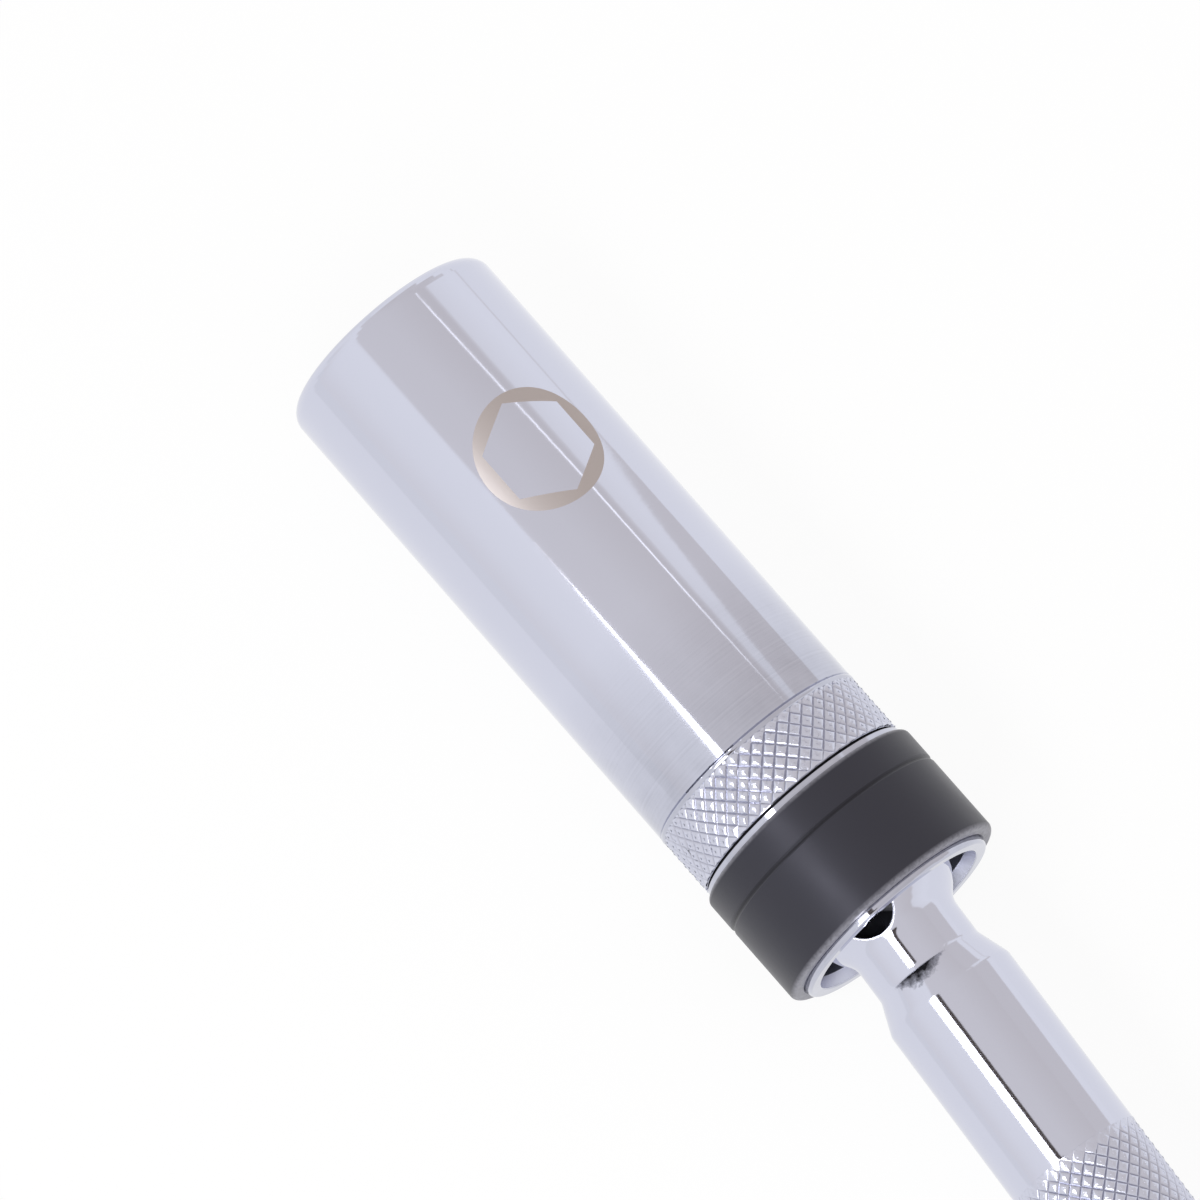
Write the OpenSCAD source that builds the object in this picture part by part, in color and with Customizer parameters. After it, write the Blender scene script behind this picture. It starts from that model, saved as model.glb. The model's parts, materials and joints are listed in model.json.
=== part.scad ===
// Magnetic spark plug socket with a captive universal joint and a drive bar, lying on its side.
// X runs along the ground below the socket's axis, Z is up, and the origin is the centre of the mouth.

/* [Socket body] */
// Length from the mouth face to the seat of the collar
body_len = 57.4; // [50:0.1:80]
// Size of the six-point recess across its flats
hex_af = 16; // [15.9:0.05:16.6]
// Wall of the body outside the corners of that recess
corner_wall = 1.66; // [1.4:0.02:2.2]
// Depth of the six-point recess
hex_depth = 16; // [12:0.5:22]
// Depth of the lead-in chamfer of the recess
lead_depth = 0.7; // [0.3:0.1:1.2]
// Thickness of the web between the insulator's bore and the joint cup
web = 1.6; // [1:0.1:6]
// Rounding of the mouth's outer edge
mouth_round = 1.5; // [0.5:0.1:1.6]
// Length of the knurled grip band
grip_len = 6; // [3:0.1:12]
// Depth of the grip band below the body
grip_depth = 0.22; // [0.05:0.01:0.4]
// Width of the relief groove behind the grip band
relief_w = 0.3; // [0.2:0.05:1]
// Depth of that groove below the body
relief_depth = 0.45; // [0.3:0.05:0.7]
// Width of the polished lip in front of the collar
lip_w = 0.5; // [0.4:0.05:2]

/* [Magnet] */
// Step from the flats of the recess in to the ring magnet
magnet_step = 0.15; // [0.1:0.05:0.6]
// Wall of the ring magnet
magnet_wall = 1.25; // [0.9:0.05:2]
// Step from the magnet's hole in to the bore that clears the plug's insulator
bore_step = 0.2; // [0.1:0.05:0.8]
// Length of the ring magnet
magnet_len = 5.5; // [3:0.1:10]
// Wire diameter of the clip that holds the magnet
clip_wire_d = 0.9; // [0.6:0.05:1.2]
// Opening of the clip, as an angle
clip_opening = 40; // [20:5:80]

/* [Collar] */
// Height of the collar above the body
collar_step = 0.525; // [0.4:0.025:1.2]
// Length of the collar
collar_len = 11.5; // [10:0.1:14]
// Rounding of the collar's rear edge
collar_rear_round = 0.5; // [0.3:0.1:1.2]
// Rounding of the collar's front edge
collar_front_round = 0.4; // [0.1:0.05:0.6]
// Distance from the collar's front face to the middle of its fine groove
collar_groove_at = 3.4; // [2:0.1:6]
// Width of the fine groove
collar_groove_w = 0.6; // [0.3:0.05:1]
// Chamfer at the rear edge of the collar's bore
collar_bore_chamfer = 0.15; // [0.05:0.05:0.4]
// Depth of the fine groove
collar_groove_depth = 0.15; // [0.1:0.05:0.5]

/* [Joint cup] */
// Step from the body down to the cup, where the collar sits
cup_step = 0.8; // [0.5:0.05:1]
// Wall of the cup
cup_wall = 1.5; // [1:0.05:1.5]
// Length of the rim that shows behind the collar
rim_out = 0.7; // [0.5:0.1:3]
// Rounding of the rim's outer edge
rim_round = 0.3; // [0.1:0.05:0.5]
// Rounding of the rim's inner edge
rim_inner_round = 0.15; // [0.1:0.05:0.3]
// Widening of the cup at its rim
rim_flare = 0.25; // [0.1:0.05:0.4]
// Length of that flare
rim_flare_len = 1.2; // [0.8:0.05:2]
// Distance from the rim to the centre of the joint
pivot_in = 4.3; // [4:0.1:5]

/* [Joint] */
// Space between the ball end of the fork and the wall of the cup
ball_space = 1.1; // [1.1:0.05:1.6]
// Distance from the joint's centre to the flat front of the fork
ball_front = 5; // [4:0.1:6]
// Diameter of the joint pins
pin_d = 3; // [2:0.1:3.2]
// Width of the fork's slot
slot_w = 5.3; // [4.9:0.1:5.4]
// Distance from the joint's centre to the round bottom of the slot
slot_depth = 5.1; // [5:0.1:5.6]
// Distance from the domed ends of the joint block out to the ball's surface
block_in = 0.3; // [0.1:0.1:1]
// Turn of the pins about the socket's axis
pin_roll = 24.9; // [15:0.1:90]

/* [Drive bar] */
// Diameter of the bar
bar_d = 12.6; // [11:0.1:14]
// Diameter of the neck behind the fork
neck_d = 10.4; // [9.6:0.1:10.8]
// Distance from the joint's centre to the end of the neck
neck_end = 9.2; // [9:0.1:14]
// Length of the conical shoulder between neck and bar
shoulder_len = 3; // [2:0.1:6]
// Rounding at both ends of that shoulder
shoulder_round = 1.2; // [0.3:0.1:2]
// Distance from the joint's centre to the knurled grip of the bar
bar_grip_at = 30.5; // [18:0.5:40]
// Length of the knurled grip of the bar
bar_grip_len = 24; // [10:0.5:30]
// Depth of the knurled grip below the bar
bar_grip_depth = 0.2; // [0.05:0.01:0.4]
// Distance from the joint's centre to the end face of the drive head
bar_len = 87; // [86:0.5:160]
// Diameter of the drive head
head_d = 18.8; // [17:0.1:21]
// Length of the drive head
head_len = 20; // [15:0.5:26]
// Length of the shoulder between bar and drive head
head_shoulder_len = 4; // [2:0.5:6]
// Rounding of the edges of the drive head's end
head_round = 0.8; // [0.3:0.1:1.5]

/* [Square drive] */
// Size of the square recess across its flats
square_af = 9.6; // [9.55:0.05:10.5]
// Depth of the square recess
square_depth = 11.5; // [9:0.5:14]
// Depth of the chamfer at its mouth
square_lead = 0.6; // [0.2:0.1:1]
// Distance from the end face to the groove for the drive's detent ball
detent_at = 5.5; // [4:0.1:7]
// Width of that groove
detent_w = 2.4; // [1.6:0.1:3]

/* [Hidden] */

$fn = 96;
arc_steps = 8;

// Clearances and small details
overrun = 1;
run_gap = 0.04;
slot_gap = 0.08;
seat_gap = 0.02;
cup_gap = 0.3;
pin_sink = 0.15;
pin_chamfer = 0.3;
pin_middle_gap = 0.7;
grip_bevel = 0.2;
cup_fillet = 0.8;
neck_fillet = 2;
clip_bite = 0.3;
drill_point_angle = 59;

// Radii
hex_corner_r = hex_af / 2 / cos(30);
body_r = hex_corner_r + corner_wall;
collar_r = body_r + collar_step;
cup_r = body_r - cup_step;
cup_inner_r = cup_r - cup_wall;
ball_r = cup_inner_r - ball_space;
neck_r = neck_d / 2;
bar_r = bar_d / 2;
head_r = head_d / 2;
pin_r = pin_d / 2;
magnet_r = hex_af / 2 - magnet_step;
magnet_hole_r = magnet_r - magnet_wall;
insulator_r = magnet_hole_r - bore_step;
magnet_pocket_r = magnet_r + seat_gap;
clip_r = magnet_pocket_r + clip_bite - clip_wire_d / 2;

// Places along the socket
collar_x = body_len;
rim_x = collar_x + collar_len + rim_out;
pivot_x = rim_x - pivot_in;
cup_floor_x = pivot_x - ball_r - cup_gap;
bore_cone_h = insulator_r / 2 / tan(drill_point_angle);
insulator_end_x = cup_floor_x - web - bore_cone_h;
lip_x = body_len - lip_w;
grip_end_x = lip_x - relief_w;
grip_x = grip_end_x - grip_len;
clip_x = hex_depth + clip_wire_d / 2;
magnet_x = hex_depth + clip_wire_d + seat_gap;
magnet_seat_x = magnet_x + magnet_len + seat_gap;

// The socket lies on its mouth and its wider collar, so its axis rises a little from the mouth
lying_run = collar_x + collar_front_round - mouth_round;
lying_rise = collar_r - collar_front_round - body_r + mouth_round;
lean = atan(lying_rise / lying_run) + asin((collar_front_round - mouth_round) / norm([lying_run, lying_rise]));
ground = (body_r - mouth_round) * cos(lean) - mouth_round * sin(lean) + mouth_round;

// The bar hangs to one side on the upper and lower pins until its drive head touches the ground
reach = bar_len - head_round;
head_in = head_r - head_round;
droop = asin((ground + pivot_x * sin(lean) - head_round) / norm([reach, head_in])) - atan(head_in / reach);
swing_axis_rise = [sin(lean), sin(pin_roll) * cos(lean)];
rest_swing = -asin(sin(droop) / norm(swing_axis_rise)) - atan(swing_axis_rise[0] / swing_axis_rise[1]);

function arc(centre, r, from, to, steps = arc_steps) =
    [for (i = [0 : steps]) let (a = from + (to - from) * i / steps)
        [centre[0] + r * cos(a), centre[1] + r * sin(a)]];

// An S-shaped shoulder of two equal arcs from radius r1 at x1 to the larger radius r2 at x2
function shoulder(r1, x1, r2, x2) =
    let (turn = 2 * atan((r2 - r1) / (x2 - x1)), r = (x2 - x1) / 2 / sin(turn))
    concat(arc([r1 + r, x1], r, 180, 180 - turn), arc([r2 - r, x2], r, -turn, 0));

// A cone from radius r1 at x1 to the larger radius r2 at x2, rounded into both
function rounded_cone(r1, x1, r2, x2, round) =
    let (slope = atan((r2 - r1) / (x2 - x1)), back = round * tan(slope / 2))
    concat(
        arc([r1 + round, x1 - back], round, 180, 180 - slope),
        arc([r2 - round, x2 + back], round, -slope, 0)
    );

function socket_outline() = concat(
    [[0, 0]],
    arc([body_r - mouth_round, mouth_round], mouth_round, -90, 0),
    [
        [body_r, grip_x - grip_bevel],
        [body_r - grip_depth, grip_x],
        [body_r - grip_depth, grip_end_x],
        [body_r - relief_depth, grip_end_x],
        [body_r - relief_depth, lip_x],
        [body_r, lip_x],
        [body_r, body_len],
        [cup_r, body_len]
    ],
    arc([cup_r - rim_round, rim_x - rim_round], rim_round, 0, 90),
    arc([cup_inner_r + rim_flare + rim_inner_round, rim_x - rim_inner_round], rim_inner_round, 90, 180),
    [[cup_inner_r, rim_x - rim_flare_len]],
    arc([cup_inner_r - cup_fillet, cup_floor_x + cup_fillet], cup_fillet, 0, -90),
    [[0, cup_floor_x]]
);

function collar_outline() = concat(
    [[cup_r + seat_gap, collar_x]],
    arc([collar_r - collar_front_round, collar_x + collar_front_round], collar_front_round, -90, 0),
    [
        [collar_r, collar_x + collar_groove_at - collar_groove_w / 2],
        [collar_r - collar_groove_depth, collar_x + collar_groove_at],
        [collar_r, collar_x + collar_groove_at + collar_groove_w / 2]
    ],
    arc([collar_r - collar_rear_round, collar_x + collar_len - collar_rear_round],
        collar_rear_round, 0, 90),
    [
        [cup_r + seat_gap + collar_bore_chamfer, collar_x + collar_len],
        [cup_r + seat_gap, collar_x + collar_len - collar_bore_chamfer]
    ]
);

// The fillet between ball and neck touches both
fillet_x = sqrt(pow(ball_r + neck_fillet, 2) - pow(neck_r + neck_fillet, 2));
fillet_angle = atan2(fillet_x, neck_r + neck_fillet);
front_angle = -asin(ball_front / ball_r);

function bar_outline() = concat(
    [[0, -ball_front]],
    arc([0, 0], ball_r, front_angle, fillet_angle, 2 * arc_steps),
    arc([neck_r + neck_fillet, fillet_x], neck_fillet, 180 + fillet_angle, 180),
    rounded_cone(neck_r, neck_end, bar_r, neck_end + shoulder_len, shoulder_round),
    [
        [bar_r, bar_grip_at - grip_bevel],
        [bar_r - bar_grip_depth, bar_grip_at],
        [bar_r - bar_grip_depth, bar_grip_at + bar_grip_len],
        [bar_r, bar_grip_at + bar_grip_len + grip_bevel]
    ],
    shoulder(bar_r, bar_len - head_len - head_shoulder_len, head_r, bar_len - head_len),
    arc([head_r - head_round, bar_len - head_round], head_round, 0, 90),
    [[0, bar_len]]
);

// Lays the straight tool on the ground
module lying() rotate([0, -lean, 0]) children();

// Turns an outline of [radius, place] points about the X axis
module turned(outline) rotate([0, 90, 0]) rotate_extrude() polygon(outline);

module along_x(from) translate([from, 0, 0]) rotate([0, 90, 0]) children();

// The joint's own frame: X along the tool, Z along the socket pins, Y along the fork pin
module in_joint(swing = 0) translate([pivot_x, 0, 0]) rotate([pin_roll, 0, 0]) rotate([0, 0, swing])
    children();

// A straight pin with chamfered ends, standing on Z = 0
module pin(len) rotate_extrude() polygon([
    [0, 0], [pin_r - pin_chamfer, 0], [pin_r, pin_chamfer],
    [pin_r, len - pin_chamfer], [pin_r - pin_chamfer, len], [0, len]
]);

module socket_body() color("#d0d2e2") lying() difference() {
    turned(socket_outline());
    along_x(-overrun) cylinder(h = hex_depth + overrun, r = hex_corner_r, $fn = 6);
    along_x(0) cylinder(h = lead_depth, r1 = hex_corner_r, r2 = hex_corner_r - lead_depth);
    along_x(hex_depth - overrun) cylinder(h = magnet_seat_x - hex_depth + overrun, r = magnet_pocket_r);
    along_x(clip_x) rotate_extrude() translate([clip_r, 0]) circle(d = clip_wire_d + 2 * seat_gap);
    along_x(hex_depth) cylinder(h = insulator_end_x - hex_depth, r = insulator_r);
    along_x(insulator_end_x) cylinder(h = bore_cone_h, r1 = insulator_r, r2 = insulator_r / 2);
    in_joint() cylinder(h = 4 * cup_r, r = pin_r, center = true);
}

module magnet_ring() color("#b4b6bb") lying() along_x(magnet_x) difference() {
    cylinder(h = magnet_len, r = magnet_r);
    translate([0, 0, -overrun]) cylinder(h = magnet_len + 2 * overrun, r = magnet_hole_r);
}

module magnet_clip() color("#8c8f96") lying() along_x(clip_x) rotate([0, 0, clip_opening / 2])
    rotate_extrude(angle = 360 - clip_opening) translate([clip_r, 0]) circle(d = clip_wire_d);

module collar() color("#3e3e44") lying() turned(collar_outline());

pin_in = pin_r + pin_middle_gap;
pin_out = cup_r - pin_sink;

module socket_pin_upper() color("#9b9ea6") lying() in_joint() translate([0, 0, pin_in])
    pin(pin_out - pin_in);

module socket_pin_lower() color("#9b9ea6") lying() in_joint() translate([0, 0, -pin_out])
    pin(pin_out - pin_in);

block_half = ball_r - block_in;
block_r = slot_w / 2 - slot_gap;
block_corner = acos(block_r / block_half);

// A barrel along the socket pins whose domed ends are centred on the joint
module joint_block() color("#85878d") lying() in_joint(rest_swing) difference() {
    rotate_extrude() polygon(concat(
        arc([0, 0], block_half, -90, -block_corner),
        arc([0, 0], block_half, block_corner, 90)
    ));
    cylinder(h = 2 * (block_half + overrun), r = pin_r + run_gap, center = true);
    rotate([90, 0, 0]) cylinder(h = 2 * (block_r + overrun), r = pin_r + run_gap, center = true);
}

fork_pin_half = sqrt(ball_r * ball_r - pin_r * pin_r) - pin_sink;

module fork_pin() color("#9b9ea6") lying() in_joint(rest_swing)
    translate([0, fork_pin_half, 0]) rotate([90, 0, 0]) pin(2 * fork_pin_half);

slot_straight = slot_depth - slot_w / 2;

// The slot between the fork's arms, with a round bottom
module fork_slot() {
    translate([-2 * ball_r, -slot_w / 2, -2 * ball_r]) cube([2 * ball_r + slot_straight, slot_w, 4 * ball_r]);
    translate([slot_straight, 0, 0]) cylinder(h = 4 * ball_r, d = slot_w, center = true);
}

module drive_bar() color("#cdcfdf") lying() in_joint(rest_swing) difference() {
    turned(bar_outline());
    fork_slot();
    rotate([90, 0, 0]) cylinder(h = 4 * ball_r, r = pin_r, center = true);
    translate([bar_len - square_depth, -square_af / 2, -square_af / 2])
        cube([square_depth + overrun, square_af, square_af]);
    along_x(bar_len - square_lead)
        cylinder(h = square_lead + overrun, r1 = square_af / 2, r2 = square_af / 2 + square_lead + overrun);
    along_x(bar_len - detent_at) rotate_extrude() translate([square_af / 2, 0]) circle(d = detent_w);
}

socket_body();
magnet_ring();
magnet_clip();
collar();
socket_pin_upper();
socket_pin_lower();
joint_block();
fork_pin();
drive_bar();
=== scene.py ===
import bpy
import json
import math
from mathutils import Matrix, Vector


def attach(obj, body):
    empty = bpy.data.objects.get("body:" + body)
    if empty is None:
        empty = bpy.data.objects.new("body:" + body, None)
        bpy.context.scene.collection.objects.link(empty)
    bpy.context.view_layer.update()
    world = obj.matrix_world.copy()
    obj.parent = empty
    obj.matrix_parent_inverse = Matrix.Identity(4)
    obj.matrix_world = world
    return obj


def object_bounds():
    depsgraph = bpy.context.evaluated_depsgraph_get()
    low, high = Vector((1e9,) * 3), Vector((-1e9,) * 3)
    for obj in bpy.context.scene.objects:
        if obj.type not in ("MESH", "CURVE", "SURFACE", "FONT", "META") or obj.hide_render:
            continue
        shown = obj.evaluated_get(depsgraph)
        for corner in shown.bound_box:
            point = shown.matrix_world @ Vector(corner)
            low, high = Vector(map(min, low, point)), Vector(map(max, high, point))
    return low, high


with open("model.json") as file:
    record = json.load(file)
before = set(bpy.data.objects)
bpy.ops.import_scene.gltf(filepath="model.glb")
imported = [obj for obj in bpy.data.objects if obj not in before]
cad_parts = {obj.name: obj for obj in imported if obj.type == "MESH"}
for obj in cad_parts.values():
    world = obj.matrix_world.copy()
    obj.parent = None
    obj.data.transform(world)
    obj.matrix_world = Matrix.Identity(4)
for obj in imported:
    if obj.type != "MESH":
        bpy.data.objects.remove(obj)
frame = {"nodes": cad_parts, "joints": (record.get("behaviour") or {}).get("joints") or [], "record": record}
cadBox = [list(corner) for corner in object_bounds()]
mm = 0.001

# The tool's own axes, read from the frame: along, across and up for the socket and for the drive bar
recess = next(mount for mount in frame["record"]["mounts"] if mount["name"] == "plug_recess")
alongSocket = -Vector(recess["axis"])
across = Vector((0, 1, 0))
socketPins, forkPin = (Vector(joint["axis"]) for joint in frame["joints"])
pivot = Vector(frame["joints"][0]["pos_m"])


def axes(along, side, up, place):
    return Matrix.Translation(place) @ Matrix((along, side, up)).transposed().to_4x4()


socketAxes = axes(alongSocket, across, alongSocket.cross(across), Vector((0, 0, 0)))
barAxes = axes(forkPin.cross(socketPins), forkPin, socketPins, pivot)


def linear(text):
    parts = [int(text[i:i + 2], 16) / 255 for i in (1, 3, 5)]
    return tuple(c / 12.92 if c <= 0.04045 else ((c + 0.055) / 1.055) ** 2.4 for c in parts) + (1.0,)


def addNode(tree, kind, settings=None, links=None):
    node = tree.nodes.new(kind)
    for name, value in (settings or {}).items():
        setattr(node, name, value)
    for socket, value in (links or {}).items():
        if isinstance(value, bpy.types.NodeSocket):
            tree.links.new(value, node.inputs[socket])
        else:
            node.inputs[socket].default_value = value
    return node


# Camera, at the photograph's viewing angle
camera = {
    "elevation": 73.45,           # degrees, seen from the socket's own axes
    "azimuth": -40.15,            # degrees from along the socket towards across
    "mouthDistance": 970.0 * mm,  # from the lens to the socket's mouth
    "mouthRight": -18.97 * mm,    # the mouth's place in the picture, from its middle
    "mouthUp": 23.25 * mm,
    "lens": 330.6,                # millimetres on the square sensor
    "sensor": 36,
    "nearest": 50 * mm,
}


def makeCamera():
    up, turn = math.radians(camera["elevation"]), math.radians(camera["azimuth"])
    back = Vector((math.cos(up) * math.cos(turn), math.cos(up) * math.sin(turn), math.sin(up)))
    right = Vector((-math.sin(turn), math.cos(turn), 0))
    above = back.cross(right)
    place = back * camera["mouthDistance"] - right * camera["mouthRight"] - above * camera["mouthUp"]
    data = bpy.data.cameras.new("studioCamera")
    data.lens = camera["lens"]
    data.sensor_width = camera["sensor"]
    data.clip_start = camera["nearest"]
    lens = bpy.data.objects.new("studioCamera", data)
    bpy.context.scene.collection.objects.link(lens)
    lens.matrix_world = socketAxes @ axes(right, above, back, place)
    bpy.context.scene.camera = lens
    print("camera stands", round(lens.location.length, 3), "m from the mouth")


# Studio: floor, world and light cards
studio = {
    "floorColour": "#F3F3F4",
    "floorSize": 4.0,
    "floorMiddle": 50 * mm,       # along the tool
    "shadowKept": 0.08,           # how much of the floor's own shade the camera sees
    "cardDistance": 0.5,          # from the socket's axis to the light cards
    "keyStrength": 7.0,
    "edgeStrength": 1.6,
    "wedgeStrength": 0.78,
    "farEdgeStrength": 0.87,
    "flagStrength": 0.1,
    "floorGlow": 0.99,            # how bright the floor is in the tool's reflections
    "underShadeGlow": 0.92,             # and close under the tool, where its shadow is painted into the glow: painted shade
    "nearFrom": 5 * mm,
    "nearTo": 18 * mm,
    "sheetEdge": -84 * mm,        # the brighter sheet under the tool ends here, and beyond it is duller
    "beyondDrop": 0.07,
    "warmth": 0.19,               # how much warmer than white the darker bands and cards are
    "blueLoss": 1.6,              # they lose this many times more blue than green
}

# How bright the studio is by the turn about the socket's axis, degrees from straight up
studioBands = [
    (-180, 0.92), (-86, 0.93), (-66, 0.985), (-52, 1.0), (-38, 1.01), (-34.5, 1.0), (-32.5, 0.84),
    (0, 0.83), (24, 0.79), (47, 0.76), (50, 0.82), (52, 0.95), (64, 0.98), (78, 1.01),
    (180, 1.0),
]


# A grey of the studio: the darker, the warmer
def warmGrey(level):
    warm = max(0.0, 1 - level) * studio["warmth"]
    return (1, 1 - warm, 1 - studio["blueLoss"] * warm)


def makeWorld():
    world = bpy.data.worlds.new("studioTent")
    bpy.context.scene.world = world
    world.use_nodes = True
    tree = world.node_tree
    tree.nodes.clear()
    direction = addNode(tree, "ShaderNodeTexCoord").outputs["Generated"]
    parts = addNode(tree, "ShaderNodeSeparateXYZ", {}, {0: direction})
    turn = addNode(tree, "ShaderNodeMath", {"operation": "ARCTAN2"},
                   {0: parts.outputs["Y"], 1: parts.outputs["Z"]})
    share = addNode(tree, "ShaderNodeMath", {"operation": "MULTIPLY_ADD"},
                    {0: turn.outputs[0], 1: 0.5 / math.pi, 2: 0.5})
    bands = addNode(tree, "ShaderNodeValToRGB", {}, {0: share.outputs[0]})
    ramp = bands.color_ramp
    while len(ramp.elements) > 1:
        ramp.elements.remove(ramp.elements[-1])
    for i, (degrees, level) in enumerate(studioBands):
        stop = ramp.elements[0] if i == 0 else ramp.elements.new(0.5 + degrees / 360)
        stop.position = 0.5 + degrees / 360
        stop.color = tuple(level * part for part in warmGrey(level)) + (1,)
    path = addNode(tree, "ShaderNodeLightPath")
    colour = addNode(tree, "ShaderNodeMix", {"data_type": "RGBA"},
                     {0: path.outputs["Is Camera Ray"], 6: bands.outputs[0], 7: (1, 1, 1, 1)})
    light = addNode(tree, "ShaderNodeBackground", {}, {"Color": colour.outputs[2], "Strength": 1.0})
    addNode(tree, "ShaderNodeOutputWorld", {}, {0: light.outputs[0]})


# Matt white paper sweep: an even white that still takes the tool's soft shadow. In the tool's reflections its
# glow has painted shade close under the tool
def paintFloor(floor):
    paper = bpy.data.materials.new("matt_white_paper")
    paper.use_nodes = True
    tree = paper.node_tree
    tree.nodes.clear()
    own = addNode(tree, "ShaderNodeBsdfDiffuse", {}, {"Color": linear(studio["floorColour"])})
    path = addNode(tree, "ShaderNodeLightPath")
    spot = addNode(tree, "ShaderNodeSeparateXYZ", {},
                   {0: addNode(tree, "ShaderNodeTexCoord").outputs["Object"]})
    off = addNode(tree, "ShaderNodeMath", {"operation": "ABSOLUTE"}, {0: spot.outputs["Y"]})
    # painted shade: the glow seen in reflections is darker close under the tool, standing in for its shadow
    near = addNode(tree, "ShaderNodeMapRange", {"clamp": True},
                   {"Value": off.outputs[0], "From Min": studio["nearFrom"], "From Max": studio["nearTo"],
                    "To Min": studio["underShadeGlow"], "To Max": studio["floorGlow"]})
    beyond = addNode(tree, "ShaderNodeMath", {"operation": "LESS_THAN"},
                     {0: spot.outputs["Y"], 1: studio["sheetEdge"]})
    mirrored = addNode(tree, "ShaderNodeMath", {"operation": "MULTIPLY_ADD"},
                       {0: beyond.outputs[0], 1: -studio["beyondDrop"], 2: near.outputs[0]})
    level = addNode(tree, "ShaderNodeMix", {"data_type": "FLOAT"},
                    {0: path.outputs["Is Camera Ray"], 2: mirrored.outputs[0], 3: 1.0})
    glow = addNode(tree, "ShaderNodeEmission", {}, {"Color": (1, 1, 1, 1), "Strength": level.outputs[0]})
    seen = addNode(tree, "ShaderNodeMath", {"operation": "MULTIPLY"},
                   {0: path.outputs["Is Camera Ray"], 1: 1 - studio["shadowKept"]})
    shiny = addNode(tree, "ShaderNodeMath", {"operation": "MAXIMUM"},
                    {0: path.outputs["Is Glossy Ray"], 1: path.outputs["Is Transmission Ray"]})
    share = addNode(tree, "ShaderNodeMath", {"operation": "MAXIMUM"},
                    {0: seen.outputs[0], 1: shiny.outputs[0]})
    both = addNode(tree, "ShaderNodeMixShader", {},
                   {0: share.outputs[0], 1: own.outputs[0], 2: glow.outputs[0]})
    addNode(tree, "ShaderNodeOutputMaterial", {}, {0: both.outputs[0]})
    floor.data.materials.append(paper)


def makeFloor():
    bpy.ops.object.select_all(action="DESELECT")
    bpy.ops.mesh.primitive_plane_add(size=studio["floorSize"],
                                     location=(studio["floorMiddle"], 0, cadBox[0][2]))
    floor = bpy.context.object
    floor.name = "floor"
    bpy.ops.object.transform_apply(location=True, rotation=False, scale=False)
    paintFloor(floor)


# A card's edges: places along the tool (m) with the turns about its axis (degrees) between which it stands
def makeCard(name, edges, strength):
    reach = studio["cardDistance"]
    points = [(x, reach * math.sin(math.radians(t)), reach * math.cos(math.radians(t)))
              for x, low, high in edges for t in (low, high)]
    faces = [(2 * i, 2 * i + 1, 2 * i + 3, 2 * i + 2) for i in range(len(edges) - 1)]
    mesh = bpy.data.meshes.new(name)
    mesh.from_pydata(points, [], faces)
    card = bpy.data.objects.new(name, mesh)
    bpy.context.scene.collection.objects.link(card)
    lit = bpy.data.materials.new(name)
    lit.use_nodes = True
    tree = lit.node_tree
    tree.nodes.clear()
    glow = addNode(tree, "ShaderNodeEmission", {}, {"Color": warmGrey(strength) + (1,), "Strength": strength})
    addNode(tree, "ShaderNodeOutputMaterial", {}, {0: glow.outputs[0]})
    mesh.materials.append(lit)
    card.visible_camera = False
    card.visible_shadow = False


def makeStudio():
    makeWorld()
    makeFloor()
    makeCard("keyCard", [(-0.083, -32.6, -32.4), (-0.074, -33.5, -32.1), (-0.067, -34.2, -31.7),
                         (-0.051, -37.0, -29.8), (-0.030, -41.5, -29.8), (0.160, -42.3, -29.8),
                         (0.400, -50.0, -30.0)], studio["keyStrength"])
    makeCard("darkFlag", [(-0.036, -29.8, -28.8), (-0.026, -29.8, -23.0), (0.160, -29.8, -22.4),
                          (0.400, -30.0, -16.0)], studio["flagStrength"])
    makeCard("edgeCard", [(-0.128, 36.6, 38.0), (-0.110, 39.3, 40.7), (-0.096, 41.4, 42.8),
                          (-0.082, 41.8, 43.1), (-0.069, 42.3, 43.4), (-0.062, 43.3, 44.0),
                          (-0.055, 44.3, 44.6)], studio["edgeStrength"])
    makeCard("greyWedge", [(-0.094, 89.0, 90.5), (-0.0826, 72.0, 91.0), (-0.069, 64.0, 91.5),
                           (-0.062, 60.0, 91.5), (-0.046, 55.0, 91.5), (-0.020, 47.0, 77.0),
                           (0.400, 47.0, 77.0)], studio["wedgeStrength"])
    makeCard("greyEnd", [(-1.2, 47.0, 77.0), (-0.2, 47.0, 77.0)], studio["wedgeStrength"])
    makeCard("farEdge", [(-0.300, 88.3, 90.5), (-0.050, 88.3, 90.5)], studio["farEdgeStrength"])
    print("studio ready")


# Materials
slotEndAt = 2.45 * mm  # centre of the round bottom of the fork's slot


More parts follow.
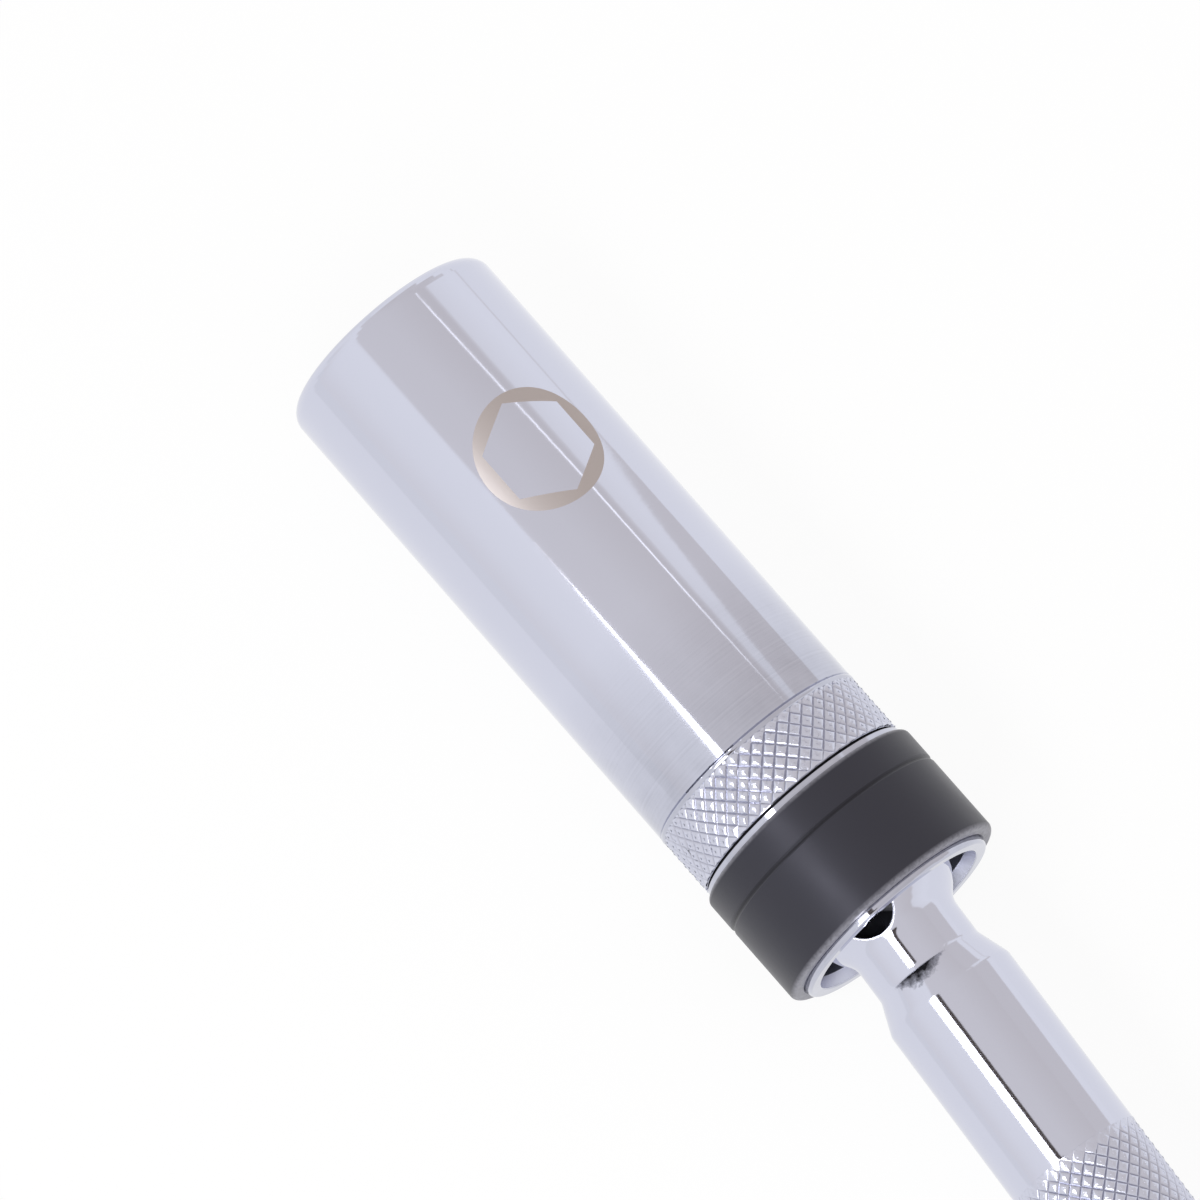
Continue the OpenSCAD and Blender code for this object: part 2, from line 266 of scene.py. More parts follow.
# Where a point lies on the tool: along its axis, out from it, around it and from the round bottom of the slot
def toolPlace(tree, toolAxes):
    inverse = toolAxes.inverted()
    place = addNode(tree, "ShaderNodeTexCoord").outputs["Object"]
    turned = addNode(tree, "ShaderNodeMapping", {"vector_type": "POINT"},
                     {"Vector": place, "Rotation": inverse.to_euler(), "Location": inverse.translation})
    parts = addNode(tree, "ShaderNodeSeparateXYZ", {}, {0: turned.outputs[0]})
    flat = addNode(tree, "ShaderNodeVectorMath", {"operation": "MULTIPLY"},
                   {0: turned.outputs[0], 1: (0, 1, 1)})
    out = addNode(tree, "ShaderNodeVectorMath", {"operation": "LENGTH"}, {0: flat.outputs[0]})
    turn = addNode(tree, "ShaderNodeMath", {"operation": "ARCTAN2"},
                   {0: parts.outputs["Y"], 1: parts.outputs["Z"]})
    fromSlot = addNode(tree, "ShaderNodeVectorMath", {"operation": "SUBTRACT"},
                       {0: turned.outputs[0], 1: (slotEndAt, 0, 0)})
    flatSlot = addNode(tree, "ShaderNodeVectorMath", {"operation": "MULTIPLY"},
                       {0: fromSlot.outputs[0], 1: (1, 1, 0)})
    slotEnd = addNode(tree, "ShaderNodeVectorMath", {"operation": "LENGTH"}, {0: flatSlot.outputs[0]})
    return {"vector": turned.outputs[0], "along": parts.outputs["X"], "side": parts.outputs["Y"],
            "out": out.outputs["Value"], "turn": turn.outputs[0], "slotEnd": slotEnd.outputs["Value"]}


# 1 between the two limits and 0 elsewhere
def between(tree, value, low, high):
    above = addNode(tree, "ShaderNodeMath", {"operation": "GREATER_THAN"}, {0: value, 1: low})
    below = addNode(tree, "ShaderNodeMath", {"operation": "LESS_THAN"}, {0: value, 1: high})
    both = addNode(tree, "ShaderNodeMath", {"operation": "MULTIPLY"},
                   {0: above.outputs[0], 1: below.outputs[0]})
    return both.outputs[0]


# 1 inside any of the places given by their limits and 0 elsewhere
def zoneMask(tree, place, places):
    inside = None
    for limits in places:
        zone = None
        for key, (low, high) in limits.items():
            part = between(tree, place[key], low, high)
            zone = part if zone is None else addNode(
                tree, "ShaderNodeMath", {"operation": "MULTIPLY"}, {0: zone, 1: part}).outputs[0]
        inside = zone if inside is None else addNode(
            tree, "ShaderNodeMath", {"operation": "MAXIMUM"}, {0: inside, 1: zone}).outputs[0]
    return inside


def newMaterial(name):
    material = bpy.data.materials.new(name)
    material.use_nodes = True
    tree = material.node_tree
    return material, tree, tree.nodes["Principled BSDF"]


# A layer of colour and roughness over another one, where the cover is 1
def layOver(tree, cover, under, over):
    colour = addNode(tree, "ShaderNodeMix", {"data_type": "RGBA"}, {0: cover, 6: under[0], 7: over[0]})
    rough = addNode(tree, "ShaderNodeMix", {"data_type": "FLOAT"}, {0: cover, 2: under[1], 3: over[1]})
    return colour.outputs[2], rough.outputs[0]


chrome = {
    "colour": "#D0D2E1",
    "roughness": 0.06,
    "roughnessSpread": 0.05,
    "patchSize": 2.5 * mm,       # of the stretches in which the polishing marks come and go
    "brushPitch": 0.22 * mm,     # drawn about four times coarser than the real polishing marks, to show
    "brushDepth": 0.0006 * mm,
    "waveLength": 1.3 * mm,
    "waveDepth": 0.0022 * mm,
    "boreColour": "#A9ABB6",
    "boreRoughness": 0.3,
    # painted shade: the dark grey inside the socket's cup and in the fork's slot stands in for the shade
    # there
    "hollowShadeColour": "#6C6E77",
    "cupRoughness": 0.42,
    # painted shade and painted dark reflection: near black in the groove before the collar, in the line at
    # the ridge's foot and in the patch on the bar's shoulder
    "creaseShadeColour": "#26262A",
    "creaseShadeRoughness": 0.55,
    "landRoughness": 0.3,
    "etchLitColour": "#C8C1C1",     # painted light, the lit tone at the turn etchFrom, degrees from straight up
    "etchShade": "#B3A9A6",      # painted shade, the shaded tone at the turn etchTo
    "etchFrom": -20,
    "etchTo": 34,
    "etchRoughness": 0.4,
    "scuffFrom": 36 * mm,        # along the socket, where the scuffed stretch before its knurl starts
    "scuffTo": 49.5 * mm,
    "scuffShade": 0.84,
    "scuffStreak": 0.1,
    "edgeRound": 0.4 * mm,       # how far the polished edges of the slot look rounded
    "shadeFrom": 9.45 * mm,     # along the bar, where the painted dark reflection on its shoulder starts
    "shadeTo": 11.3 * mm,
    "shadeTurn": 4,             # its middle, degrees from the bar's own up
    "shadeSpread": 33,
    "shadeGrain": 0.5 * mm,
    "shadeRagged": 0.9,         # how much the grain eats into its edge
    "shadeCore": 0.62,          # fully dark below this sum of depth, turn and grain
    "shadeEnd": 1.22,           # and gone above this one
}
mark = {
    "along": 19.2 * mm,          # middle of the etched mark, from the mouth
    "turn": 9.3,                 # degrees from straight up
    "discRadius": 5.85 * mm,
    "hexagonRadius": 5.08 * mm,  # to its corners
    "bodyRadius": 10.9 * mm,
    "outsideFrom": 9.8 * mm,     # it is on the outside only, not in the bore
}


# Bright chrome plate on polished steel: a cool mirror with faint turned marks and a slight waviness
def brightChrome(name, toolAxes, zones, etched=False, roundedAndShaded=False):
    material, tree, shader = newMaterial(name)
    place = toolPlace(tree, toolAxes)
    turned = addNode(tree, "ShaderNodeCombineXYZ", {}, {0: place["along"], 1: 0.0, 2: 0.0})
    bands = addNode(tree, "ShaderNodeTexNoise", {},
                    {"Vector": turned.outputs[0], "Scale": 1 / chrome["brushPitch"], "Detail": 2.0})
    broken = addNode(tree, "ShaderNodeTexNoise", {},
                     {"Vector": place["vector"], "Scale": 1 / chrome["patchSize"], "Detail": 3.0})
    brush = addNode(tree, "ShaderNodeMath", {"operation": "MULTIPLY"},
                    {0: bands.outputs[0], 1: broken.outputs[0]})
    wave = addNode(tree, "ShaderNodeTexNoise", {},
                   {"Vector": place["vector"], "Scale": 1 / chrome["waveLength"], "Detail": 2.0})
    wavy = addNode(tree, "ShaderNodeBump", {}, {"Strength": 1.0, "Distance": chrome["waveDepth"],
                                                "Height": wave.outputs[0]})
    if roundedAndShaded:
        rounded = addNode(tree, "ShaderNodeBevel", {"samples": 8}, {"Radius": chrome["edgeRound"]})
        tree.links.new(rounded.outputs[0], wavy.inputs["Normal"])
    brushed = addNode(tree, "ShaderNodeBump", {}, {"Strength": 1.0, "Distance": chrome["brushDepth"],
                                                   "Height": brush.outputs[0], "Normal": wavy.outputs[0]})
    roughness = addNode(tree, "ShaderNodeMath", {"operation": "MULTIPLY_ADD"},
                        {0: broken.outputs[0], 1: chrome["roughnessSpread"],
                         2: chrome["roughness"] - 0.4 * chrome["roughnessSpread"]})
    finish = (linear(chrome["colour"]), roughness.outputs[0])
    if etched:
        finish = (scuffedColour(tree, place, bands.outputs[0], broken.outputs[0]), roughness.outputs[0])
    for zoneColour, zoneRoughness, places in zones:
        inside = zoneMask(tree, place, places)
        finish = layOver(tree, inside, finish, (linear(chrome[zoneColour]), chrome[zoneRoughness]))
    if etched:
        cover = etchedMark(tree, place)
        finish = layOver(tree, cover, finish, (etchedTone(tree, place), chrome["etchRoughness"]))
    # painted dark reflection on the bar's shoulder
    if roundedAndShaded:
        darkReflection = shoulderShade(tree, place)
        finish = layOver(tree, darkReflection, finish, (linear(chrome["creaseShadeColour"]), chrome["creaseShadeRoughness"]))
    tree.links.new(finish[0], shader.inputs["Base Color"])
    tree.links.new(finish[1], shader.inputs["Roughness"])
    tree.links.new(brushed.outputs[0], shader.inputs["Normal"])
    shader.inputs["Metallic"].default_value = 1.0
    return material


# Painted light: the etched mark's colour is painted paler towards the key light and darker away from it
def etchedTone(tree, place):
    away = addNode(tree, "ShaderNodeMapRange", {"clamp": True},
                   {"Value": place["turn"], "From Min": math.radians(chrome["etchFrom"]),
                    "From Max": math.radians(chrome["etchTo"])})
    tone = addNode(tree, "ShaderNodeMix", {"data_type": "RGBA"},
                   {0: away.outputs[0], 6: linear(chrome["etchLitColour"]), 7: linear(chrome["etchShade"])})
    return tone.outputs[2]


# The chrome before the knurl is duller from handling, with fine marks around the socket
def scuffedColour(tree, place, bands, broken):
    share = addNode(tree, "ShaderNodeMapRange", {"clamp": True},
                    {"Value": place["along"], "From Min": chrome["scuffFrom"], "From Max": chrome["scuffTo"]})
    streak = addNode(tree, "ShaderNodeMath", {"operation": "MULTIPLY"}, {0: bands, 1: broken})
    # the two noises multiply to a quarter on average, so 4 makes the streaks even out
    drop = addNode(tree, "ShaderNodeMath", {"operation": "MULTIPLY_ADD"},
                   {0: streak.outputs[0], 1: -4 * chrome["scuffStreak"],
                    2: chrome["scuffShade"] - 1 + chrome["scuffStreak"]})
    shade = addNode(tree, "ShaderNodeMath", {"operation": "MULTIPLY_ADD"},
                    {0: drop.outputs[0], 1: share.outputs[0], 2: 1.0})
    return addNode(tree, "ShaderNodeVectorMath", {"operation": "SCALE"},
                   {0: linear(chrome["colour"])[:3], "Scale": shade.outputs[0]}).outputs[0]


# Painted dark reflection in the corner where the bar's neck meets its shoulder, a lens with a ragged edge
def shoulderShade(tree, place):
    spread = math.radians(chrome["shadeSpread"])
    depth = addNode(tree, "ShaderNodeMapRange", {"clamp": True},
                    {"Value": place["along"], "From Min": chrome["shadeFrom"],
                     "From Max": chrome["shadeTo"]})
    side = addNode(tree, "ShaderNodeMath", {"operation": "MULTIPLY_ADD"},
                   {0: place["turn"], 1: 1 / spread, 2: -math.radians(chrome["shadeTurn"]) / spread})
    curve = addNode(tree, "ShaderNodeMath", {"operation": "MULTIPLY_ADD"},
                    {0: side.outputs[0], 1: side.outputs[0], 2: depth.outputs[0]})
    grain = addNode(tree, "ShaderNodeTexNoise", {},
                    {"Vector": place["vector"], "Scale": 1 / chrome["shadeGrain"], "Detail": 3.0})
    mixed = addNode(tree, "ShaderNodeMath", {"operation": "MULTIPLY_ADD"},
                    {0: grain.outputs[0], 1: chrome["shadeRagged"], 2: curve.outputs[0]})
    ragged = addNode(tree, "ShaderNodeMapRange", {"clamp": True},
                     {"Value": mixed.outputs[0], "From Min": chrome["shadeEnd"],
                      "From Max": chrome["shadeCore"]})
    here = between(tree, place["along"], chrome["shadeFrom"], chrome["shadeTo"])
    return addNode(tree, "ShaderNodeMath", {"operation": "MULTIPLY"},
                   {0: ragged.outputs[0], 1: here}).outputs[0]


knurled = {
    "colour": "#D0D2E1",
    # painted shade in the knurl's valleys
    "valleyShadeColour": "#B4B5C3",
    "roughness": 0.2,
    "wornDepth": 0.012 * mm,
    "wornGrain": 0.5 * mm,
    "valleyTop": 0.5,            # of the depth, from the crest down
}


# Chrome over the knurls: worn a little matt and uneven on the crests, with painted shade making it greyer
# down in the valleys
def knurledChrome(name, toolAxes, values):
    material, tree, shader = newMaterial(name)
    place = toolPlace(tree, toolAxes)
    height = addNode(tree, "ShaderNodeMapRange", {"clamp": True},
                     {"Value": place["out"], "From Min": values["crest"] - values["depth"],
                      "From Max": values["crest"] - knurled["valleyTop"] * values["depth"]})
    colour = addNode(tree, "ShaderNodeMix", {"data_type": "RGBA"},
                     {0: height.outputs[0], 6: linear(knurled["valleyShadeColour"]), 7: linear(knurled["colour"])})
    wear = addNode(tree, "ShaderNodeTexNoise", {},
                   {"Vector": place["vector"], "Scale": 1 / knurled["wornGrain"], "Detail": 2.0})
    bump = addNode(tree, "ShaderNodeBump", {}, {"Strength": 1.0, "Distance": knurled["wornDepth"],
                                                "Height": wear.outputs[0]})
    tree.links.new(colour.outputs[2], shader.inputs["Base Color"])
    tree.links.new(bump.outputs[0], shader.inputs["Normal"])
    shader.inputs["Roughness"].default_value = knurled["roughness"]
    shader.inputs["Metallic"].default_value = 1.0
    return material


# A laser-etched disc with a hexagonal window, the plain sign of a six-point socket
def etchedMark(tree, place):
    along = addNode(tree, "ShaderNodeMath", {"operation": "SUBTRACT"}, {0: place["along"], 1: mark["along"]})
    around = addNode(tree, "ShaderNodeMath", {"operation": "MULTIPLY_ADD"},
                     {0: place["turn"], 1: mark["bodyRadius"],
                      2: -math.radians(mark["turn"]) * mark["bodyRadius"]})
    spot = addNode(tree, "ShaderNodeCombineXYZ", {}, {0: along.outputs[0], 1: around.outputs[0], 2: 0.0})
    distance = addNode(tree, "ShaderNodeVectorMath", {"operation": "LENGTH"}, {0: spot.outputs[0]})
    widest = None
    for degrees in (30, 90, 150):
        turn = math.radians(degrees)
        flat = addNode(tree, "ShaderNodeVectorMath", {"operation": "DOT_PRODUCT"},
                       {0: spot.outputs[0], 1: (math.cos(turn), math.sin(turn), 0)})
        size = addNode(tree, "ShaderNodeMath", {"operation": "ABSOLUTE"}, {0: flat.outputs["Value"]})
        widest = size.outputs[0] if widest is None else addNode(
            tree, "ShaderNodeMath", {"operation": "MAXIMUM"}, {0: widest, 1: size.outputs[0]}).outputs[0]
    disc = addNode(tree, "ShaderNodeMath", {"operation": "LESS_THAN"},
                   {0: distance.outputs["Value"], 1: mark["discRadius"]})
    window = addNode(tree, "ShaderNodeMath", {"operation": "GREATER_THAN"},
                     {0: widest, 1: mark["hexagonRadius"] * math.cos(math.radians(30))})
    mask = addNode(tree, "ShaderNodeMath", {"operation": "MULTIPLY"},
                   {0: disc.outputs[0], 1: window.outputs[0]})
    outside = addNode(tree, "ShaderNodeMath", {"operation": "GREATER_THAN"},
                      {0: place["out"], 1: mark["outsideFrom"]})
    return addNode(tree, "ShaderNodeMath", {"operation": "MULTIPLY"},
                   {0: mask.outputs[0], 1: outside.outputs[0]}).outputs[0]


collar = {
    "colour": "#26262C",
    "wornColour": "#8A8A93",
    "sheen": (0.82, 0.82, 1.0, 1.0),  # bluish tint of the coat's own reflection
    "roughness": 0.38,
    "roughnessSpread": 0.12,
    "cloud": 4 * mm,              # of the patches in which the gloss changes
    "grain": 0.35 * mm,
    "grainDepth": 0.0015 * mm,
    "front": 57.4 * mm,
    "rear": 68.9 * mm,
    "wornWidth": 0.45 * mm,
    "grooveShadeColour": "#101013",
    "grooveFloor": 11.36 * mm,    # from the axis
    "grooveFrom": 60.3 * mm,
    "grooveTo": 61.3 * mm,
}


# Satin black coat on a turned steel ring: soft bluish sheen, rubbed paler at both edges, with painted shade
# in its groove
def blackCoat(name):
    material, tree, shader = newMaterial(name)
    place = toolPlace(tree, socketAxes)
    fine = addNode(tree, "ShaderNodeTexNoise", {},
                   {"Vector": place["vector"], "Scale": 1 / collar["grain"], "Detail": 3.0})
    cloud = addNode(tree, "ShaderNodeTexNoise", {},
                    {"Vector": place["vector"], "Scale": 1 / collar["cloud"], "Detail": 3.0})
    middle = (collar["front"] + collar["rear"]) / 2
    half = (collar["rear"] - collar["front"]) / 2
    off = addNode(tree, "ShaderNodeMath", {"operation": "SUBTRACT"}, {0: place["along"], 1: middle})
    far = addNode(tree, "ShaderNodeMath", {"operation": "ABSOLUTE"}, {0: off.outputs[0]})
    edge = addNode(tree, "ShaderNodeMapRange", {"clamp": True},
                   {"Value": far.outputs[0], "From Min": half - collar["wornWidth"], "From Max": half})
    patchy = addNode(tree, "ShaderNodeMapRange", {"clamp": True},
                     {"Value": fine.outputs[0], "From Min": 0.2, "From Max": 0.6, "To Min": 0.4})
    worn = addNode(tree, "ShaderNodeMath", {"operation": "MULTIPLY"},
                   {0: edge.outputs[0], 1: patchy.outputs[0]})
    colour = addNode(tree, "ShaderNodeMix", {"data_type": "RGBA"},
                     {0: worn.outputs[0], 6: linear(collar["colour"]), 7: linear(collar["wornColour"])})
    # painted shade: the groove is painted near black
    groove = zoneMask(tree, place, [{"along": (collar["grooveFrom"], collar["grooveTo"]),
                                     "out": (0, collar["grooveFloor"])}])
    colour = addNode(tree, "ShaderNodeMix", {"data_type": "RGBA"},
                     {0: groove, 6: colour.outputs[2], 7: linear(collar["grooveShadeColour"])})
    rough = addNode(tree, "ShaderNodeMath", {"operation": "MULTIPLY_ADD"},
                    {0: cloud.outputs[0], 1: collar["roughnessSpread"],
                     2: collar["roughness"] - collar["roughnessSpread"] / 2})
    bump = addNode(tree, "ShaderNodeBump", {},
                   {"Strength": 1.0, "Distance": collar["grainDepth"], "Height": fine.outputs[0]})
    tree.links.new(colour.outputs[2], shader.inputs["Base Color"])
    tree.links.new(rough.outputs[0], shader.inputs["Roughness"])
    tree.links.new(bump.outputs[0], shader.inputs["Normal"])
    shader.inputs["Specular Tint"].default_value = collar["sheen"]
    return material


plainSteels = {
    "nickel_plate": {"colour": "#B9B7B2", "roughness": 0.3, "grain": 0.25 * mm, "spread": 0.12},
    "blued_spring_steel": {"colour": "#62636A", "roughness": 0.34, "grain": 0.2 * mm, "spread": 0.1},
    "ground_steel": {"colour": "#9C9DA3", "roughness": 0.26, "grain": 0.15 * mm, "spread": 0.12},
    "oiled_dark_steel": {"colour": "#2B2B30", "roughness": 0.45, "grain": 0.3 * mm, "spread": 0.15},
}


# Plain steels: dull nickel, dark spring wire, ground pins and an oiled black block, each with a fine grain
def plainSteel(name):
    values = plainSteels[name]
    material, tree, shader = newMaterial(name)
    place = toolPlace(tree, socketAxes)
    grain = addNode(tree, "ShaderNodeTexNoise", {},
                    {"Vector": place["vector"], "Scale": 1 / values["grain"], "Detail": 3.0})
    shade = addNode(tree, "ShaderNodeMapRange", {},
                    {"Value": grain.outputs[0], "From Min": 0.3, "From Max": 0.7,
                     "To Min": 0.8, "To Max": 1.1})
    colour = addNode(tree, "ShaderNodeVectorMath", {"operation": "SCALE"},
                     {0: linear(values["colour"])[:3], "Scale": shade.outputs[0]})
    rough = addNode(tree, "ShaderNodeMath", {"operation": "MULTIPLY_ADD"},
                    {0: grain.outputs[0], 1: values["spread"], 2: values["roughness"] - values["spread"] / 2})
    tree.links.new(colour.outputs[0], shader.inputs["Base Color"])
    tree.links.new(rough.outputs[0], shader.inputs["Roughness"])
    shader.inputs["Metallic"].default_value = 1.0
    return material


# Knurled bands: each fade keeps, within a distance in millimetres from one end, that share of the depth
socketKnurl = {
    "from": 50.6 * mm, "to": 56.55 * mm, "crest": 10.92 * mm, "depth": 0.25 * mm,
    "around": 46, "rows": 4, "wall": 0.12 * mm,
    "fades": [("low", 0.08, 0.12), ("low", 0.3, 0.5), ("low", 0.5, 0.8), ("high", 0.1, 0.6)],
}
barKnurl = {
    "from": 30.27 * mm, "to": 54.73 * mm, "crest": 6.32 * mm, "depth": 0.22 * mm,
    "around": 28, "rows": 17, "wall": 0.12 * mm,
    "fades": [("low", 0.1, 0.1), ("low", 0.4, 0.4), ("low", 0.8, 0.75),
              ("high", 0.1, 0.1), ("high", 0.4, 0.4), ("high", 0.8, 0.75)],
}


# For both knurls, in millimetres and degrees: how near points are merged, how near the end an edge is
# taken, and up to which angle the faces are shaded smooth
knurlMesh = {"flatMerge": 0.002, "seamMerge": 0.01, "endReach": 0.001, "smoothAngle": 24}


def onlySelect(thing):
    bpy.ops.object.select_all(action="DESELECT")
    thing.select_set(True)
    bpy.context.view_layer.objects.active = thing


# The steps of a diamond from its foot to its worn top: in by a share of its width, up by one of the depth
diamondSteps = ((0.05, 0.32), (0.08, 0.27), (0.11, 0.22), (0.12, 0.13), (0.08, 0.06))


# One raised diamond, standing up: length along X, width along Z, its top towards -Y. Sizes in millimetres.
def makeDiamond(width, height, depth):
    bpy.ops.object.select_all(action="DESELECT")
    bpy.ops.mesh.primitive_plane_add(size=math.sqrt(0.5), rotation=(math.radians(90), 0, 0))
    diamond = bpy.context.object
    bpy.ops.object.transform_apply(location=False, rotation=True, scale=False)
    bpy.ops.object.mode_set(mode="EDIT")
    bpy.ops.mesh.select_all(action="SELECT")
    bpy.ops.transform.rotate(value=math.radians(45), orient_axis="Y", center_override=(0, 0, 0))
    bpy.ops.transform.resize(value=(width, 1, height))
    for inset, rise in diamondSteps:
        bpy.ops.mesh.inset(thickness=inset * width, depth=0)
        bpy.ops.transform.translate(value=(0, -rise * depth, 0))
    bpy.ops.object.mode_set(mode="OBJECT")
    return diamond


def arrayOf(thing, name, count, step):
    rows = thing.modifiers.new(name, "ARRAY")
    rows.use_relative_offset = False
    rows.use_constant_offset = True
    rows.count = count
    rows.constant_offset_displace = step
    onlySelect(thing)
    bpy.ops.object.modifier_apply(modifier=name)


def pickEdges(thing, wanted):
    bpy.ops.mesh.select_mode(type="EDGE")
    bpy.ops.mesh.select_all(action="DESELECT")
    bpy.ops.object.mode_set(mode="OBJECT")
    points = thing.data.vertices
    for edge in thing.data.edges:
        edge.select = wanted(points[edge.vertices[0]].co, points[edge.vertices[1]].co)
    bpy.ops.object.mode_set(mode="EDIT")


def pickVertices(thing, wanted):
    bpy.ops.mesh.select_mode(type="VERT")
    bpy.ops.mesh.select_all(action="DESELECT")
    bpy.ops.object.mode_set(mode="OBJECT")
    for point in thing.data.vertices:
        point.select = wanted(point.co)
    bpy.ops.object.mode_set(mode="EDIT")


# A flat sheet of diamonds in staggered rows, cut square at the ends. It is left in edit mode.
def layDiamonds(name, values, long, wide, depth):
    stepAround, stepAlong = long / values["around"], wide / values["rows"]
    first = makeDiamond(stepAround, stepAlong, depth)
    first.name = name
    second = first.copy()
    second.data = first.data.copy()
    bpy.context.scene.collection.objects.link(second)
    for diamond, shift, extra in ((first, 0.0, 1), (second, 0.5, 0)):
        arrayOf(diamond, "around", values["around"] + extra, (stepAround, 0, 0))
        arrayOf(diamond, "along", values["rows"] + extra, (0, 0, stepAlong))
        bpy.ops.object.mode_set(mode="EDIT")
        bpy.ops.mesh.select_all(action="SELECT")
        bpy.ops.transform.translate(value=(shift * stepAround - long / 2, 0, shift * stepAlong - wide / 2))
        bpy.ops.object.mode_set(mode="OBJECT")
    onlySelect(first)
    second.select_set(True)
    bpy.ops.object.join()
    sheet = bpy.context.object
    bpy.ops.object.mode_set(mode="EDIT")
    for place, normal in (((-long / 2, 0, 0), (-1, 0, 0)), ((long / 2, 0, 0), (1, 0, 0)),
                          ((0, 0, -wide / 2), (0, 0, -1)), ((0, 0, wide / 2), (0, 0, 1))):
        bpy.ops.mesh.select_all(action="SELECT")
        bpy.ops.mesh.bisect(plane_co=place, plane_no=normal, clear_outer=True, use_fill=False)
    bpy.ops.mesh.select_all(action="SELECT")
    bpy.ops.mesh.remove_doubles(threshold=knurlMesh["flatMerge"])
    return sheet


# Towards an end the valleys rise to the crest, and the ends get a wall inwards
def finishEnds(sheet, values, wide, depth):
    wall = values["wall"] / mm
    for side, reach, share in values["fades"]:
        sign = -1 if side == "low" else 1
        pickVertices(sheet, lambda a: wide / 2 - sign * a.z < reach)
        bpy.ops.transform.resize(value=(1, share, 1), center_override=(0, -depth, 0))
    for end in (-wide / 2, wide / 2):
        pickEdges(sheet, lambda a, b: max(abs(a.z - end), abs(b.z - end)) < knurlMesh["endReach"])
        bpy.ops.mesh.extrude_edges_move(TRANSFORM_OT_translate={"value": (0, wall, 0)})
        bpy.ops.transform.resize(value=(1, 0, 1), center_override=(0, wall, 0))
    bpy.ops.object.mode_set(mode="OBJECT")


# The sheet rolled into a ring. The bridge leaves some edges open, not the same ones in every run.
def rollUp(sheet):
    roll = sheet.modifiers.new("roll", "SIMPLE_DEFORM")
    roll.deform_method = "BEND"
    roll.deform_axis = "Z"
    roll.angle = 2 * math.pi
    onlySelect(sheet)
    bpy.ops.object.modifier_apply(modifier="roll")
    bpy.ops.object.mode_set(mode="EDIT")
    bpy.ops.mesh.select_all(action="SELECT")
    bpy.ops.mesh.remove_doubles(threshold=knurlMesh["seamMerge"])
    bpy.ops.mesh.select_all(action="DESELECT")
    bpy.ops.mesh.select_mode(type="EDGE")
    bpy.ops.mesh.select_non_manifold(extend=False)
    bpy.ops.mesh.bridge_edge_loops()
    bpy.ops.mesh.select_all(action="SELECT")
    bpy.ops.mesh.normals_make_consistent(inside=False)
    bpy.ops.object.mode_set(mode="OBJECT")


def makeKnurl(name, values, toolAxes, body):
    crest, depth = values["crest"] / mm, values["depth"] / mm
    long = 2 * math.pi * (crest - depth)
    wide = (values["to"] - values["from"]) / mm
    knurl = layDiamonds(name, values, long, wide, depth)
    finishEnds(knurl, values, wide, depth)
    rollUp(knurl)
    # from the rolling axes to the tool's: along is Z there, the ring's middle is at Y = its radius
    stand = Matrix(((0, 0, 1, 0), (-1, 0, 0, 0), (0, -1, 0, 0), (0, 0, 0, 1)))
    shift = Matrix.Translation((0, -long / 2 / math.pi, 0))
    middle = Matrix.Translation(((values["from"] + values["to"]) / 2, 0, 0))
    knurl.data.transform(toolAxes @ middle @ Matrix.Scale(mm, 4) @ stand @ shift)
    knurl.matrix_world = Matrix.Identity(4)
    onlySelect(knurl)
    bpy.ops.object.shade_smooth_by_angle(angle=math.radians(knurlMesh["smoothAngle"]))
    knurl.data.materials.clear()
    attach(knurl, body)
    print(name, len(knurl.data.polygons), "faces")
    return knurl


ridge = {"along": 50.78 * mm, "crest": 10.96 * mm, "round": 0.3 * mm, "steps": 128, "sides": 16}


# The smooth round ridge that the knurling wheel pushes up before the socket's diamonds
def makeRidge():
    bpy.ops.object.select_all(action="DESELECT")
    bpy.ops.mesh.primitive_torus_add(major_segments=ridge["steps"], minor_segments=ridge["sides"],
                                     major_radius=ridge["crest"] - ridge["round"],
                                     minor_radius=ridge["round"])
    ring = bpy.context.object
    ring.name = "knurlRidge"
    place = Matrix.Translation((ridge["along"], 0, 0))
    ring.data.transform(socketAxes @ place @ Matrix.Rotation(math.pi / 2, 4, "Y"))
    bpy.ops.object.shade_smooth()
    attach(ring, "socket")
    return ring


# Build
makeCamera()
makeStudio()

# Where the finish changes, from the socket's mouth and from the joint's pivot
inside = {
    "socketWall": 9.4 * mm,       # everything nearer to the axis is inside the socket
    "mouthEdge": 0.7 * mm,
    "cupFrom": 50 * mm,
    "rimFrom": 68.43 * mm,
    "rimTo": 69.5 * mm,
    "rimRadii": (8.6 * mm, 9.1 * mm),
    "reliefFrom": 56.58 * mm,     # groove between the socket's knurl and the collar
    "reliefTo": 56.92 * mm,
    "reliefRadii": (10 * mm, 10.64 * mm),
    "slotHalf": 2.67 * mm,
    "slotFrom": -6 * mm,
    "forkRadius": 6.9 * mm,
    "squareFrom": 74 * mm,
    "squareTo": 86.4 * mm,
    "squareRadius": 7.0 * mm,
}
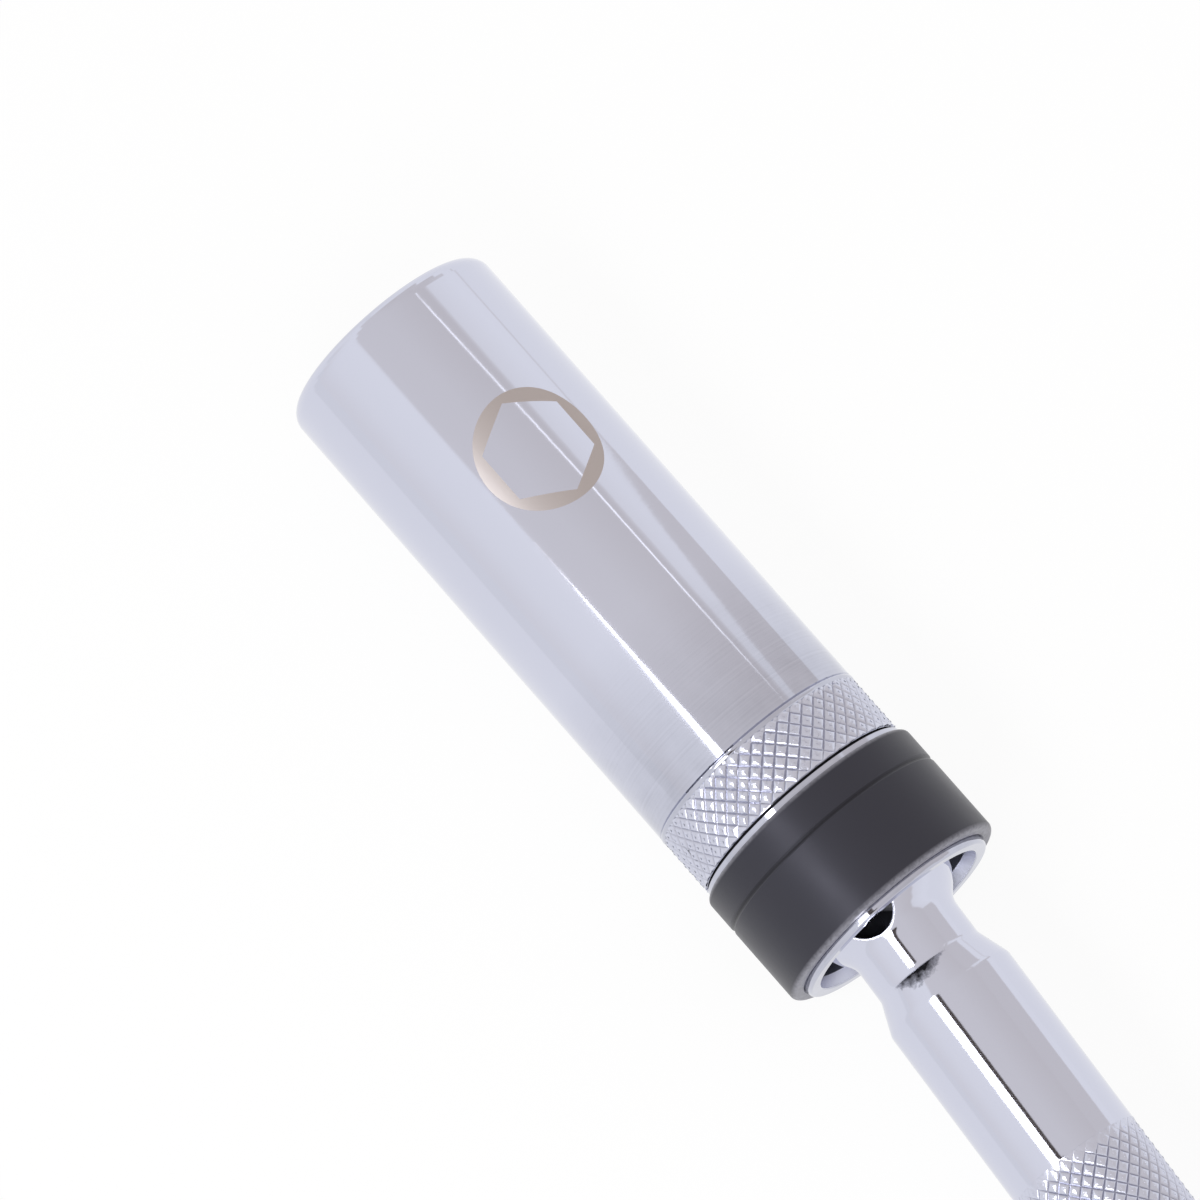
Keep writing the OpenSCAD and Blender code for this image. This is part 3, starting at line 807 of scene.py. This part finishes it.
# Painted dark reflection: the thin dark line at the foot of the ridge before the socket's knurl, on one side
# only. Its turns are in radians from straight up
ridgeFootShade = {"out": (10.8 * mm, 10.9 * mm), "along": (50.44 * mm, 50.54 * mm), "turn": (-0.84, -0.26)}
socketZones = [
    ("boreColour", "boreRoughness", [
        {"out": (-1, inside["socketWall"]), "along": (inside["mouthEdge"], inside["cupFrom"])},
    ]),
    # painted shade inside the socket's cup
    ("hollowShadeColour", "cupRoughness", [
        {"out": (-1, inside["socketWall"]), "along": (inside["cupFrom"], inside["rimFrom"])},
    ]),
    ("colour", "landRoughness", [
        {"out": inside["rimRadii"], "along": (inside["rimFrom"], inside["rimTo"])},
    ]),
    # painted shade in the groove before the collar, and the painted dark line at the ridge's foot
    ("creaseShadeColour", "creaseShadeRoughness", [
        {"out": inside["reliefRadii"], "along": (inside["reliefFrom"], inside["reliefTo"])},
        ridgeFootShade,
    ]),
]
barZones = [
    # painted shade in the fork's slot and at its round end
    ("hollowShadeColour", "cupRoughness", [
        {"side": (-inside["slotHalf"], inside["slotHalf"]), "along": (inside["slotFrom"], slotEndAt)},
        {"slotEnd": (-1, inside["slotHalf"]), "out": (-1, inside["forkRadius"])},
    ]),
    ("boreColour", "boreRoughness", [
        {"out": (-1, inside["squareRadius"]), "along": (inside["squareFrom"], inside["squareTo"])},
    ]),
]
socketChrome = brightChrome("bright_chrome_socket", socketAxes, socketZones, etched=True)
barChrome = brightChrome("bright_chrome_bar", barAxes, barZones, roundedAndShaded=True)
finishes = {
    "socket_body": socketChrome,
    "collar": blackCoat("satin_black_coat"),
    "magnet_ring": plainSteel("nickel_plate"),
    "magnet_clip": plainSteel("blued_spring_steel"),
    "joint_block": plainSteel("oiled_dark_steel"),
    "drive_bar": barChrome,
}
groundSteel = plainSteel("ground_steel")
for name, node in frame["nodes"].items():
    node.data.materials.clear()
    node.data.materials.append(finishes.get(name, groundSteel))
print("solids painted")

socketBand = makeKnurl("socketKnurl", socketKnurl, socketAxes, "socket")
socketBand.data.materials.append(knurledChrome("knurled_chrome_socket", socketAxes, socketKnurl))
makeRidge().data.materials.append(socketChrome)
barBand = makeKnurl("barKnurl", barKnurl, barAxes, "bar")
barBand.data.materials.append(knurledChrome("knurled_chrome_bar", barAxes, barKnurl))

bpy.context.scene.view_settings.view_transform = "Standard"
